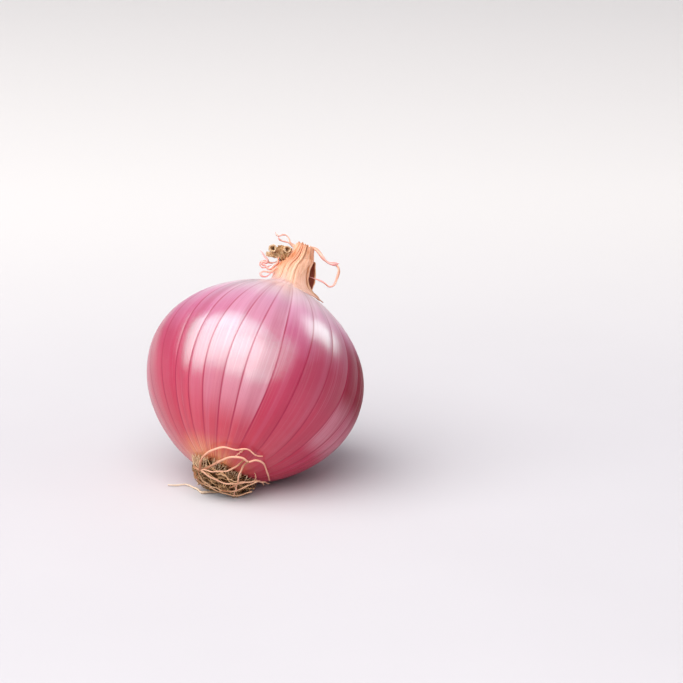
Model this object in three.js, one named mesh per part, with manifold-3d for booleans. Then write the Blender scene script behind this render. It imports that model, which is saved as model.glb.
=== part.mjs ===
// A medium red onion lying at rest: the bulb in its ribbed pink skin, the dry pleated neck with
// its torn flap and curled shreds, one dead leaf rolled beside the neck, and the mat of dry roots.
// Units are millimetres. The onion is modelled upright about its own axis, root end down, with
// the middle of the bulb at the origin, and is then leaned over to rest on its belly.

import * as THREE from 'three';
import { mergeVertices } from 'three/addons/utils/BufferGeometryUtils.js';
import Module from 'manifold-3d';

const wasm = await Module();
wasm.setup();

// Driving dimensions

const BULB_RADIUS = 35;
const LEAN_DEGREES = 36.5;
const REST_CUT = 0.6;
const GAP = 0.3;
const GROOVE_DEPTH = 0.4;
const COLLAR_POLAR = 22;
const BLADE = 0.65;
const NECK_TOP = 46;
const PLEATS = 9;
const PLEAT_DEPTH = 0.8;
const NECK_SWAY = 1.2;
const MOUTH_SHARE = 0.55;
const MOUTH_LIP = 1.6;
const MOUTH_DEPTH = 2.2;
const SHRED_WIDTH = 0.9;
const LEAF_ROLL_RADIUS = 1.45;
const LEAF_ROLL_BORE = 0.7;
const LEAST_REACH = 8;
const PLATE_HEIGHT = 2.2;
const NEST_RISE = 1.2;
const NEST_HEIGHT = 4.6;
const ROOT_COUNT = 50;
const ROOT_WIDTH = 0.8;
const BRISTLE_COUNT = 24;
const BRISTLE_WIDTH = 0.64;
const STRAY_WIDTH = 0.75;
const TABLE_CLEARANCE = 0.2;

// The bulb's outline is its distance from the middle by polar angle from the neck: a mean radius
// and three gentle waves, each as a share of the bulb's radius
const OUTLINE_MEAN = 0.948;
const OUTLINE_EGG = 0.061;
const OUTLINE_FLATTEN = 0.034;
const OUTLINE_SQUARE = 0.017;

// Longitudes of the veins on the striped front, in degrees. The rest of the way round has as
// many again and more, at spacings drawn at random
const FRONT_VEINS = [-195, -184, -174.5, -163, -153, -140, -124.5, -110, -97, -84];
const BACK_VEINS = 19;

// The longitude that lies to the right when the onion is seen from its striped front
const RIGHT_LONGITUDE = -57;

// The two layers of the neck's torn flap, by degrees from the right: where each leaves the neck,
// where it ends, and how far it stands off
const FRONT_LAYER = { from: -62, to: -29, lift: 1.3 };
const REAR_LAYER = { from: -12, to: 16, lift: 1 };
const FLAP_SCALLOP = 2.2;

// Heights between which the neck's features come and go
const PLEATS_RISE = [29, 35];
const FLAP_OPENS = [28, 30.5];
const FLAP_CLOSES = [38, 42];
const SWAY_RISE = [29, 41];
const TEAR_RISE = [40, NECK_TOP];

// How far the mat of roots reaches: longitude, and degrees from the root end
const MAT_EDGE = [
  [0, 12], [60, 14], [90, 16], [125, 15.5], [140, 17.5], [160, 19], [175, 20], [195, 19.5], [210, 18],
  [222, 16], [242, 15.5], [262, 18], [280, 19], [300, 17], [330, 13], [360, 12],
];

const SKIN_PINK = 0xd4577c;
const NECK_PEACH = 0xf6cba4;
const LEAF_KHAKI = 0xa58450;
const ROOT_STRAW = 0xd9b384;

const radians = THREE.MathUtils.degToRad;
const { smoothstep, euclideanModulo, lerp } = THREE.MathUtils;
const lean = radians(LEAN_DEGREES);

// A repeatable random number from 0 to 1 for each whole number
function draw(index) {
  const wide = Math.sin(index * 12.9898 + 4.1414) * 43758.5453;
  return wide - Math.floor(wide);
}

function between(index, low, high) {
  return low + (high - low) * draw(index);
}

// Skin of the bulb

function outlineRadius(polar) {
  const waves = OUTLINE_MEAN - OUTLINE_EGG * Math.cos(polar)
    - OUTLINE_FLATTEN * Math.cos(2 * polar) + OUTLINE_SQUARE * Math.cos(4 * polar);
  return BULB_RADIUS * waves;
}

function allVeins() {
  const first = FRONT_VEINS[0];
  const last = FRONT_VEINS[FRONT_VEINS.length - 1];
  const shares = [];
  for (let i = 0; i <= BACK_VEINS; i++) {
    shares.push(between(i, 0.75, 1.25));
  }
  const total = shares.reduce((sum, share) => sum + share, 0);
  const veins = [...FRONT_VEINS];
  let longitude = last;
  for (let i = 0; i < BACK_VEINS; i++) {
    longitude += (360 + first - last) * shares[i] / total;
    veins.push(longitude);
  }
  return veins;
}

// Direction from the middle of the bulb, both angles in radians
function direction(polar, longitude) {
  const side = Math.sin(polar);
  return new THREE.Vector3(side * Math.cos(longitude), side * Math.sin(longitude), Math.cos(polar));
}

// A point that stands the given height off the smooth skin
function offSkin(polar, longitude, height) {
  return direction(polar, longitude).multiplyScalar(outlineRadius(polar) + height);
}

// The same, by degrees from the root end
function offRootEnd(degrees, longitudeDegrees, height) {
  return offSkin(Math.PI - radians(degrees), radians(longitudeDegrees), height);
}

// A point beside the neck: to the right of the axis, up it, and behind it, as seen from the front
function besideNeck(across, along, behind) {
  const right = radians(RIGHT_LONGITUDE);
  return new THREE.Vector3(
    across * Math.cos(right) - behind * Math.sin(right),
    across * Math.sin(right) + behind * Math.cos(right),
    along,
  );
}

// Closed meshes and solids

// Skin over rings of equal length, each counter-clockwise seen from the end of the last ring,
// with a single point closing each end
function closedRings(start, rings, end) {
  const count = rings[0].length;
  const points = [start, ...rings.flat(), end];
  const lastPoint = points.length - 1;
  const faces = [];
  for (let i = 0; i < count; i++) {
    const next = (i + 1) % count;
    faces.push(0, 1 + next, 1 + i);
    for (let ring = 0; ring < rings.length - 1; ring++) {
      const below = 1 + ring * count;
      const above = below + count;
      faces.push(below + i, below + next, above + next);
      faces.push(below + i, above + next, above + i);
    }
    const top = 1 + (rings.length - 1) * count;
    faces.push(top + i, top + next, lastPoint);
  }
  const geometry = new THREE.BufferGeometry();
  geometry.setFromPoints(points);
  geometry.setIndex(faces);
  return geometry;
}

function toSolid(geometry) {
  const bare = geometry.clone();
  bare.deleteAttribute('normal');
  bare.deleteAttribute('uv');
  const merged = mergeVertices(bare, 1e-4);
  return new wasm.Manifold(new wasm.Mesh({
    numProp: 3,
    vertProperties: merged.attributes.position.array,
    triVerts: Uint32Array.from(merged.index.array),
  }));
}

function toGeometry(solid) {
  const mesh = solid.getMesh();
  const geometry = new THREE.BufferGeometry();
  geometry.setAttribute('position', new THREE.BufferAttribute(mesh.vertProperties, 3));
  geometry.setIndex(new THREE.BufferAttribute(mesh.triVerts, 1));
  geometry.computeVertexNormals();
  return geometry;
}

// The outer surface of the largest body: pockets sealed between strands are filled this way
function largestBody(solid) {
  return solid.decompose().reduce((best, body) => (body.volume() > best.volume() ? body : best));
}

// A strand with a regular section, swept along a smooth curve through its points
function strand(points, width, sides, steps) {
  const section = new THREE.Shape();
  for (let i = 0; i < sides; i++) {
    const turn = 2 * Math.PI * i / sides;
    const x = width / 2 * Math.cos(turn);
    const y = width / 2 * Math.sin(turn);
    if (i === 0) {
      section.moveTo(x, y);
    } else {
      section.lineTo(x, y);
    }
  }
  section.closePath();
  const path = new THREE.CatmullRomCurve3(points);
  return new THREE.ExtrudeGeometry(section, { steps, bevelEnabled: false, extrudePath: path });
}

// Resting place

// How far the leaning skin reaches down and forward of the middle of the bulb
function lowestSkin() {
  const lowest = new THREE.Vector2(0, Infinity);
  const tries = 720;
  for (let i = 0; i <= tries; i++) {
    const polar = Math.PI * i / tries;
    const point = offSkin(polar, 0, 0).applyAxisAngle(new THREE.Vector3(0, 1, 0), lean);
    if (point.z < lowest.y) {
      lowest.set(point.x, point.z);
    }
  }
  return lowest;
}

const belly = lowestSkin();
const middleHeight = -belly.y - REST_CUT;
const upward = new THREE.Vector3(-Math.sin(lean), 0, Math.cos(lean));

function heightAboveTable(point) {
  return middleHeight + point.dot(upward);
}

function raisedToClear(point, clearance) {
  const short = clearance - heightAboveTable(point);
  if (short > 0) {
    point.addScaledVector(upward, short);
  }
  return point;
}

// Everything below the table top, as one deep block in the onion's own frame
function tableBlock() {
  const width = 4 * BULB_RADIUS;
  const block = new THREE.BoxGeometry(width, width, width);
  block.translate(0, 0, -middleHeight - width / 2);
  block.rotateY(-lean);
  return toSolid(block);
}

// Bulb

// Columns of the skin: one on each vein and three across the band between two veins, with how
// deep the skin dips in each
function skinColumns() {
  const veins = allVeins();
  const dips = [1, 0.16, 0, 0.16];
  const columns = [];
  veins.forEach((vein, i) => {
    const next = i + 1 < veins.length ? veins[i + 1] : veins[0] + 360;
    dips.forEach((dip, part) => {
      columns.push({ longitude: radians(vein + (next - vein) * part / dips.length), dip });
    });
  });
  return columns;
}

function makeBulb() {
  const rows = 21;
  const fadeRate = 1.6;
  const columns = skinColumns();
  const rings = [];
  for (let row = 1; row < rows; row++) {
    const polar = Math.PI * (1 - row / rows);
    const fade = Math.min(1, fadeRate * Math.sin(polar));
    rings.push(columns.map(({ longitude, dip }) => (
      offSkin(polar, longitude, -GROOVE_DEPTH * fade * dip)
    )));
  }
  const skin = closedRings(offSkin(Math.PI, 0, 0), rings, offSkin(0, 0, 0));
  return toGeometry(toSolid(skin).subtract(tableBlock()));
}

// Neck

// Outline of the neck above the collar, as radius and height, from shoulder to torn end
const neckOutline = [
  [8.0, 30.2],
  [6.6, 31.8],
  [5.7, 34],
  [4.9, 37.1],
  [4.2, 40],
  [3.2, 44],
  [2.7, NECK_TOP],
];

// The torn skin flap stands off the right of the neck as two layers with a slit between them:
// how far each longitude, in degrees, is lifted, at its most
function flapLift(longitudeDegrees) {
  const fromRight = euclideanModulo(longitudeDegrees - RIGHT_LONGITUDE + 180, 360) - 180;
  const inFront = fromRight < FRONT_LAYER.to;
  const front = inFront ? FRONT_LAYER.lift * smoothstep(fromRight, FRONT_LAYER.from, FRONT_LAYER.to) : 0;
  const rear = fromRight > REAR_LAYER.from && fromRight < REAR_LAYER.to ? REAR_LAYER.lift : 0;
  return Math.max(front, rear);
}

// One column of the neck's outside, from the scalloped edge on the shoulder to the torn end. The
// neck sways a little to the right on its way up
function neckColumn(turn, rows) {
  const lift = flapLift(THREE.MathUtils.radToDeg(turn));
  const scallop = 1.6 * Math.sin(3 * turn + 0.7) + 1.1 * Math.sin(7 * turn);
  const raggedTop = 0.9 * Math.sin(3 * turn + 1) + 0.6 * Math.sin(8 * turn);
  const pleatDrift = 0.06;
  const pleatMean = 0.6;
  const edgePolar = radians(COLLAR_POLAR + scallop + FLAP_SCALLOP * lift);
  const edge = outlineRadius(edgePolar) + GAP + BLADE;
  const curve = new THREE.SplineCurve([
    new THREE.Vector2(edge * Math.sin(edgePolar), edge * Math.cos(edgePolar)),
    ...neckOutline.map(([radius, height]) => new THREE.Vector2(radius, height)),
  ]);
  const column = [];
  for (let row = 0; row <= rows; row++) {
    const { x: across, y: height } = curve.getPoint(row / rows);
    const fold = Math.abs(Math.cos(PLEATS * turn / 2 + pleatDrift * height));
    const pleat = PLEAT_DEPTH * smoothstep(height, ...PLEATS_RISE) * (fold - pleatMean);
    const flap = lift * smoothstep(height, ...FLAP_OPENS) * (1 - smoothstep(height, ...FLAP_CLOSES));
    const radius = across + pleat + flap;
    const sway = besideNeck(NECK_SWAY * smoothstep(height, ...SWAY_RISE), 0, 0);
    const tear = raggedTop * smoothstep(height, ...TEAR_RISE);
    column.push(new THREE.Vector3(radius * Math.cos(turn), radius * Math.sin(turn), height + tear).add(sway));
  }
  return { column, edgePolar };
}

function neckBody() {
  const around = 6 * PLEATS;
  const rows = 12;
  const undersideSteps = [0.3, 0.65, 1];
  const mouth = besideNeck(NECK_SWAY, NECK_TOP - MOUTH_DEPTH, 0);
  const columns = [];
  for (let i = 0; i < around; i++) {
    const turn = 2 * Math.PI * i / around;
    const { column, edgePolar } = neckColumn(turn, rows);
    const underside = undersideSteps.map((step) => offSkin(edgePolar * step, turn, GAP));
    const tip = column[column.length - 1];
    const inner = tip.clone().lerp(mouth, 1 - MOUTH_SHARE);
    inner.z = tip.z - MOUTH_LIP;
    columns.push([...underside, ...column, inner]);
  }
  const rings = columns[0].map((_, ring) => columns.map((column) => column[ring]));
  return toSolid(closedRings(offSkin(0, 0, GAP), rings, mouth));
}

// Curled shreds of dry leaf on both sides of the neck: across, along and behind the axis
const shreds = [
  [[-0.8, 43.2, 0], [-3, 44.4, 0], [-4.3, 45.6, -0.4], [-5.6, 46.6, -0.4], [-7, 46.6, 0], [-8.2, 46, 0.2],
    [-9.5, 46.8, 0.4]],
  [[-1, 43.6, 0.8], [-3.2, 44.6, 1.2], [-6.5, 45, 1], [-8.2, 45.8, 0.4]],
  [[-3.6, 37.2, -1], [-5.5, 34.9, -2], [-6.9, 32.9, -3.2], [-8.7, 31.9, -3.4], [-10.5, 32.3, -2.6],
    [-9.4, 33.6, -2.2], [-7.2, 33.4, -2.6], [-6, 32.9, -2.6]],
  [[-3.8, 36.2, 1.4], [-6.6, 34.6, 1.2], [-8.6, 34.3, 0.6], [-10.3, 35, 0], [-9.6, 36.2, -0.4],
    [-10.4, 37.4, -0.6], [-12.9, 38.9, -0.6]],
  [[2, 44.4, 0], [4, 44.8, -0.6], [6.1, 43.6, -1], [8.2, 42.4, -1.2], [10.4, 42.3, -1], [12.6, 43, -0.6],
    [13.6, 41.2, -0.2], [13.9, 37.9, 0.4], [13.1, 35.5, 0.6], [11.7, 35.1, 0.4], [9.5, 35.8, 0],
    [4.4, 36.2, 0]],
];

function makeNeck() {
  let neck = neckBody();
  for (const shred of shreds) {
    const points = shred.map(([across, along, behind]) => besideNeck(across, along, behind));
    neck = neck.add(toSolid(strand(points, SHRED_WIDTH, 4, Math.round(1.5 * points.length))));
  }
  return toGeometry(largestBody(neck));
}

// Dead leaf, rolled into a short open tube that lies against the left of the neck

function makeLeafRoll() {
  const slit = 0.5;
  const section = new THREE.Shape();
  section.absarc(0, 0, LEAF_ROLL_RADIUS, slit, 2 * Math.PI - slit, false);
  section.absarc(0, 0, LEAF_ROLL_BORE, 2 * Math.PI - slit, slit, true);
  section.closePath();
  const path = new THREE.CatmullRomCurve3([
    besideNeck(-3.7, 41.4, 0.4),
    besideNeck(-5.4, 41.3, 0.2),
    besideNeck(-7.3, 41, -0.8),
    besideNeck(-8.5, 40.5, -2.6),
  ]);
  const rolled = { steps: 8, curveSegments: 12, bevelEnabled: false, extrudePath: path };
  return new THREE.ExtrudeGeometry(section, rolled);
}

// Roots

// Degrees from the root end to the edge of the mat at a longitude
function matEdge(longitudeDegrees) {
  const longitude = euclideanModulo(longitudeDegrees, 360);
  const next = Math.max(1, MAT_EDGE.findIndex(([end]) => end >= longitude));
  const [from, near] = MAT_EDGE[next - 1];
  const [to, far] = MAT_EDGE[next];
  return lerp(near, far, (longitude - from) / (to - from));
}

// The same, held back where the table is close
function matReach(longitudeDegrees) {
  const headroom = 1.5;
  let reach = matEdge(longitudeDegrees);
  while (reach > LEAST_REACH && heightAboveTable(offRootEnd(reach, longitudeDegrees, 0)) < headroom) {
    reach -= 0.5;
  }
  return reach;
}

// The mat's core: a lumpy plate that hugs the root end, with the nest's floor standing on it
function tuftCore() {
  const around = 36;
  const undersideSteps = [0.35, 0.7, 0.9];
  const topSteps = [[0.93, 0.35], [0.82, 0.75], [0.62, 1], [0.4, 1.1], [0.2, 1]];
  const columns = [];
  for (let i = 0; i < around; i++) {
    const degrees = 360 * i / around;
    const reach = matReach(degrees) * between(i + 200, 0.78, 0.9);
    const underside = undersideSteps.map((step) => offRootEnd(reach * step, degrees, GAP));
    const top = topSteps.map(([step, share], row) => {
      const lump = between(i * topSteps.length + row + 300, -0.35, 0.35);
      const height = GAP + BLADE + PLATE_HEIGHT * share + lump;
      return raisedToClear(offRootEnd(reach * step, degrees, height), TABLE_CLEARANCE);
    });
    columns.push([...underside, ...top]);
  }
  // The rings run outward under the skin and back over the nest, so they turn the other way
  const rings = columns[0].map((_, ring) => columns.map((column) => column[ring]).reverse());
  const start = offRootEnd(0, 0, GAP);
  return toSolid(closedRings(start, rings, offRootEnd(0, 0, GAP + BLADE + PLATE_HEIGHT)));
}

// One root of the mat. It leaves the plate, arches out and bends round with the nest
function nestRoot(index) {
  const longitude = 137.508 * index;
  const start = between(index + 500, 0.1, 0.8);
  const finish = between(index + 600, 0.55, 1.05);
  const turn = between(index + 700, -95, 95);
  const arch = NEST_HEIGHT * between(index + 800, 0.35, 1) * (1 - 0.35 * start);
  const lengthwise = 4;
  const points = [];
  for (let k = 0; k <= lengthwise; k++) {
    const t = k / lengthwise;
    const degrees = longitude + turn * t;
    const share = start + (finish - start) * t;
    const waver = between(index * 7 + k + 900, -0.3, 0.3);
    const height = NEST_RISE + arch * Math.sin(Math.PI * (0.1 + 0.72 * t)) + waver;
    const point = offRootEnd(matReach(degrees) * share, degrees, height);
    points.push(raisedToClear(point, ROOT_WIDTH / 2 + TABLE_CLEARANCE));
  }
  return strand(points, ROOT_WIDTH * between(index + 1500, 0.8, 1.1), 3, lengthwise + 1);
}

// A short bristle that stands up the skin at the rim of the mat, shorter where the table is close
function rimBristle(index) {
  const degrees = 360 * index / BRISTLE_COUNT + between(index + 1600, -5, 5);
  const reach = matReach(degrees);
  const length = between(index + 1700, 1, 4) * (reach < matEdge(degrees) ? 0.2 : 1);
  const steer = between(index + 1800, -8, 8);
  const points = [
    offRootEnd(reach * 0.62, degrees, 1.3),
    offRootEnd(reach * 0.88, degrees + steer * 0.4, 1.7),
    offRootEnd(reach + length, degrees + steer, 1.1),
  ];
  const steps = points.length;
  return strand(points.map((point) => raisedToClear(point, BRISTLE_WIDTH)), BRISTLE_WIDTH, 3, steps);
}

// Long stray roots: degrees from the root end, longitude and height off the skin
const strays = [
  [[12, 152, 1.6], [15.9, 161.7, 1.2], [23, 180, 1.6], [30.7, 201, 1.6], [33.6, 208.7, 1.7],
    [34.2, 220.8, 1.5], [36.2, 226.3, 1.3], [34.8, 235.9, 1.1], [35.2, 242.5, 0.8]],
  [[35.9, 225.6, 1.4], [32.5, 222.4, 1.5], [28.6, 220.5, 1.2], [22, 219, 1.3], [15, 216, 1.8]],
  [[11, 168, 2.2], [17.3, 192.8, 2.4], [22.9, 205.5, 2.3], [27.2, 212, 2.3], [30.3, 219.1, 2.3],
    [31.6, 226.6, 2.3], [31.3, 234, 2.3], [33.5, 238.3, 2.1], [33.3, 247.2, 1.7], [30, 258.9, 1.3],
    [26.8, 274.4, 1.1], [26.6, 288, 0.9]],
  [[31.3, 234, 2.3], [27.6, 231, 3], [23.5, 232.6, 3.9], [21.3, 235.6, 4.6], [15.4, 245.4, 5],
    [11, 258, 4.4]],
  [[30.9, 231.6, 2.3], [27.3, 226.5, 2.8], [22.9, 222, 3.4], [19.9, 216.1, 3.8], [14.7, 204.8, 3.8],
    [10, 190, 2.8]],
  [[12, 150, 2.4], [15.5, 160, 3.4], [15, 186.7, 4.4], [14.8, 210.7, 5], [17.6, 231.1, 5.2],
    [14, 250, 3.6]],
  [[10, 215, 4.2], [14.2, 222.2, 5.4], [19.8, 239.3, 5.2], [22.6, 252.1, 4.4], [23.8, 258.6, 3.7],
    [25.2, 276.8, 2.7], [26.8, 285, 1.9], [30.1, 296, 1.3]],
  [[25.4, 251.3, 1.8], [24.4, 254, 2.8], [23.2, 256, 4], [18, 262, 4.2], [12, 268, 3]],
  [[6, 30, 2], [3, 40, 4.2], [4.1, 69.8, 5.7], [6.1, 91.6, 6.6], [9.2, 84.9, 6.5], [13.3, 79.5, 6.3],
    [18.3, 79.4, 6.9], [21, 86.1, 8.7], [23.3, 90.9, 10.6]],
];

function makeRoots() {
  let roots = tuftCore();
  for (let i = 0; i < ROOT_COUNT; i++) {
    roots = roots.add(toSolid(nestRoot(i)));
  }
  for (let i = 0; i < BRISTLE_COUNT; i++) {
    roots = roots.add(toSolid(rimBristle(i)));
  }
  for (const stray of strays) {
    const points = stray.map(([degrees, longitude, height]) => (
      raisedToClear(offRootEnd(degrees, longitude, height), STRAY_WIDTH / 2 + TABLE_CLEARANCE)
    ));
    roots = roots.add(toSolid(strand(points, STRAY_WIDTH, 3, points.length)));
  }
  return toGeometry(largestBody(roots));
}

// Assembly

function finish(color, roughness) {
  return new THREE.MeshStandardMaterial({ color, roughness, metalness: 0 });
}

function piece(name, geometry, material) {
  const mesh = new THREE.Mesh(geometry, material);
  mesh.name = name;
  return mesh;
}

const onion = new THREE.Group();
onion.add(piece('bulb', makeBulb(), finish(SKIN_PINK, 0.3)));
onion.add(piece('neck', makeNeck(), finish(NECK_PEACH, 0.6)));
onion.add(piece('leaf_roll', makeLeafRoll(), finish(LEAF_KHAKI, 0.75)));
onion.add(piece('roots', makeRoots(), finish(ROOT_STRAW, 0.75)));
onion.rotation.y = lean;
onion.position.set(-belly.x, 0, middleHeight);

export default new THREE.Group().add(onion);
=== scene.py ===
"""A red onion lying at rest on a pale table: ribbed pink bulb, papery peach neck with torn and
curled shreds, a rolled dead leaf, and a mat of dry roots."""
import math

import bpy
import numpy as np
from mathutils import Matrix, Vector


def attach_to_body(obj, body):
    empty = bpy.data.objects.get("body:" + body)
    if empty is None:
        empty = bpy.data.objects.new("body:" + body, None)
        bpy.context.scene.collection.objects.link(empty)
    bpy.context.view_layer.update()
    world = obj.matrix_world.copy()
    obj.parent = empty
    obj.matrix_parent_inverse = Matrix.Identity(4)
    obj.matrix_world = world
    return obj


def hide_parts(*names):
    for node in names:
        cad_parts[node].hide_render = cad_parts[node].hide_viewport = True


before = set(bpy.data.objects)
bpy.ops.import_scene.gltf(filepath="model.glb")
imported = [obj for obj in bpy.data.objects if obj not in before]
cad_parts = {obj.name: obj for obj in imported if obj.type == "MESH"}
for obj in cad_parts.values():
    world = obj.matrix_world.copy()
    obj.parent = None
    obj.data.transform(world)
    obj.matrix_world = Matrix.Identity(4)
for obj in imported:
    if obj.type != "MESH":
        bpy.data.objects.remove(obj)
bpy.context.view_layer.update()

# Driving dimensions, in millimetres and degrees, in the onion's own upright frame: its radius, the
# lean of its axis, the depth of the flat that it rests on, the height of the neck's torn end, where
# the bulb's skin meets the neck's, from the neck's pole, and the longitude that lies to the right
BULB_RADIUS = 35.0
LEAN = math.radians(36.5)
REST_CUT = 0.6
NECK_TOP = 46.0
SEAM_POLAR = 25.0
RIGHT_LONGITUDE = -57.0

METRES = 0.001
TABLE_GAP = 0.02

# Share of the bulb's radius in each wave of its outline
OUTLINE_MEAN = 0.948
OUTLINE_EGG = 0.061
OUTLINE_FLATTEN = 0.034
OUTLINE_SQUARE = 0.017

# Longitudes of the veins on the striped front, and how many more go round the back
FRONT_VEINS = [-195, -184, -174.5, -163, -153, -140, -124.5, -110, -97, -84]
BACK_VEINS = 19

# How far a vein wanders to either side
VEIN_WANDER = math.radians(0.9)

# How each band between two front veins catches the light: degrees that it faces up, its gloss, and
# how much painted shade deepens its colour, or below 0 how much painted reflection pales it. Then
# the same for the bands on the view's rims
FRONT_BANDS = [(4.5, 0.9, 0), (4.5, 0.9, -0.1), (0.5, 0.95, -0.3), (3.0, 0.95, -0.4), (4.5, 0.85, -0.5),
               (-1.0, 0.5, 0.1), (-2.0, 0.8, 0.3), (-1.0, 0.6, 0.4), (-1.0, 0.25, 0.8)]
RIGHT_RIM = [(0, 0.0, 1.0), (0, 0.0, 1.0), (0, 0.2, 0.8), (0, 0.5, 0.5)]
LEFT_RIM = [(0, 0.5, 0.1)]

# Relief of the skin, in mm: how far a band is crowned and leans to one side, the depth and width of
# the groove along a vein, and how far all of it is sunk
CROWN = 0.13
BAND_LEAN = 0.05
GROOVE_DEPTH = 0.02
GROOVE_WIDTH = 0.3
RELIEF_SUNK = 0.12

# The side on which the coral of the root end reaches farthest up the skin
ORANGE_LONGITUDE = 180.0

# Neck outline above the shoulder, as radius and height, and how far its middle sways to the right
# of the axis, by height
NECK_OUTLINE = [(7.7, 30.0), (6.3, 31.3), (5.6, 33.8), (5.0, 37.1), (4.3, 39.4), (3.8, 41.2), (3.1, 44.0),
                (2.8, NECK_TOP)]
NECK_SWAY = [(28, 0.0), (31.4, 0.3), (35, -0.1), (37.5, 0.1), (39.5, 0.9), (41.5, 1.2), (NECK_TOP, 1.1)]

# Height of the neck's gathers in mm, the depth that counts as level among them, the depth of the
# hollow behind the flap, and the notch in the torn end: degrees from the right, width and depth
PLEAT_HEIGHT = 1.15
PLEAT_LEVEL = 0.62
HOLLOW_DEPTH = 2.1
NOTCH = (-62, 9, 0.6)

# Orange stains on the neck: degrees from the right, height, and their reach in degrees and in mm
STAINS = [(-155, 37.4, 26, 2.4), (-130, 40.8, 14, 2.0), (-62, 43.6, 14, 1.6), (-40, 41.5, 9, 1.8),
          (40, 40, 25, 3)]

# Degrees from the right between which the painted shade in the hollow behind the flap turns from dark red to
# tan
HOLLOW_SHADE = (-30, 5)

# Where the dry skin of the neck ends on the shoulder: degrees from the right, and from the neck's pole
DRY_EDGE = [(-180, 10.5), (-140, 11.0), (-108, 12.0), (-94, 13.3), (-70, 15.2), (-55, 17.5), (-44, 19.3),
            (-31, 22.6), (-18, 24.7), (0, 23.0), (20, 19.0), (60, 16.0), (120, 14.0), (180, 10.5)]

# The photograph's view of the widest ring of the bulb
PICTURE = 683
VIEW_AZIMUTH = math.radians(-56.3)
VIEW_ELEVATION = math.radians(17.0)
VIEW_DISTANCE = 0.75
PIXELS_PER_METRE = 3150
RING_PIXEL = (255.6, 378.1)
RING_HEIGHT = -1.2
SENSOR_WIDTH = 36
AIM_ROUNDS = 12

# Soft panels: the way to each, right, up and back toward the view, its distance, its width and
# height, all in metres, its radiance, its colour, and whether it lights more than the gloss
LIGHTS = {
    "key": ((-0.36, 0.66, 0.66), 2.0, 3.2, 2.2, 3.2, (1.0, 1.0, 0.97), True),
    "gloss": ((-0.28, 0.67, 0.69), 1.9, 5.4, 3.2, 7.8, (0.3, 1.0, 0.9), False),
    "core": ((-0.16, 0.64, 0.74), 1.8, 1.4, 1.0, 3.0, (0.6, 1.0, 1.0), False),
    "side": ((0.72, 0.62, -0.3), 2.0, 0.8, 0.9, 10.0, (0.65, 1.0, 0.92), False),
}
SKY_COLOUR = "F6F6FA"
SKY_STRENGTH = 0.48
TABLE_HALF = 6.0


# Repeatable random numbers

def draw(index):
    wide = math.sin(index * 12.9898 + 4.1414) * 43758.5453
    return wide - math.floor(wide)


def between(index, low, high):
    return low + (high - low) * draw(index)


def smoothstep(x, low, high):
    t = np.clip((np.asarray(x, float) - low) / (high - low), 0, 1)
    return t * t * (3 - 2 * t)


def fade(x, low, high):
    return 1 - smoothstep(x, low, high)


def unit(vectors):
    return vectors / np.linalg.norm(vectors, axis=-1, keepdims=True)


def run_along(points):
    """Distance from the first point to each one along the line through them."""
    return np.concatenate([[0], np.cumsum(np.linalg.norm(np.diff(points, axis=0), axis=1))])


# Skin geometry

def outline_radius(polar):
    return BULB_RADIUS * (OUTLINE_MEAN - OUTLINE_EGG * np.cos(polar)
                          - OUTLINE_FLATTEN * np.cos(2 * polar) + OUTLINE_SQUARE * np.cos(4 * polar))


def off_skin(polar, longitude, height):
    """Points, in mm, that stand a height off the smooth skin, by angles in radians."""
    reach = outline_radius(polar) + height
    side = reach * np.sin(polar)
    along = reach * np.cos(polar) + 0 * side
    return np.stack([side * np.cos(longitude), side * np.sin(longitude), along], -1)


def off_root_end(degrees, longitude, height):
    """The same, by degrees from the root end and of longitude."""
    return off_skin(np.pi - np.radians(degrees), np.radians(longitude), height)


def beside_neck(across, along, behind):
    """A point to the right of the axis, up it and behind it, as seen from the front."""
    right = math.radians(RIGHT_LONGITUDE)
    return np.array([across * math.cos(right) - behind * math.sin(right),
                     across * math.sin(right) + behind * math.cos(right), along])


def lean_over(points):
    """Turns upright points so that the neck leans toward +X."""
    x, y, z = np.moveaxis(np.asarray(points, float), -1, 0)
    forward = x * math.cos(LEAN) + z * math.sin(LEAN)
    return np.stack([forward, y, z * math.cos(LEAN) - x * math.sin(LEAN)], -1)


def belly_point():
    polar = np.linspace(0, np.pi, 721)
    points = lean_over(off_skin(polar, 0 * polar, 0))
    return points[points[:, 2].argmin()]


BELLY = belly_point()
MIDDLE = np.array([-BELLY[0], 0, -BELLY[2] - REST_CUT])


def to_row(points, clearance=0.0):
    """Row-frame positions in metres, none of them lower than the clearance over the table."""
    placed = lean_over(points) + MIDDLE
    placed[..., 2] = np.maximum(placed[..., 2], clearance)
    return placed * METRES


def height_over_table(points):
    return lean_over(points)[..., 2] + MIDDLE[2]


def all_veins():
    """Longitudes of every vein, in degrees, rising once round the bulb."""
    shares = [between(i, 0.75, 1.25) for i in range(BACK_VEINS + 1)]
    gap = (360 + FRONT_VEINS[0] - FRONT_VEINS[-1]) / sum(shares)
    return FRONT_VEINS + [FRONT_VEINS[-1] + gap * sum(shares[:i + 1]) for i in range(BACK_VEINS)]


VEINS = all_veins()


# Mesh making

def grid_faces(rows, columns, wrap):
    """Quads of a rows by columns grid of points, closed round its columns if wrap is true."""
    last = columns if wrap else columns - 1
    row, column = np.meshgrid(np.arange(rows - 1), np.arange(last), indexing="ij")
    after = (column + 1) % columns
    here, above = row * columns, (row + 1) * columns
    return np.stack([here + column, here + after, above + after, above + column], -1).reshape(-1, 4)


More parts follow.
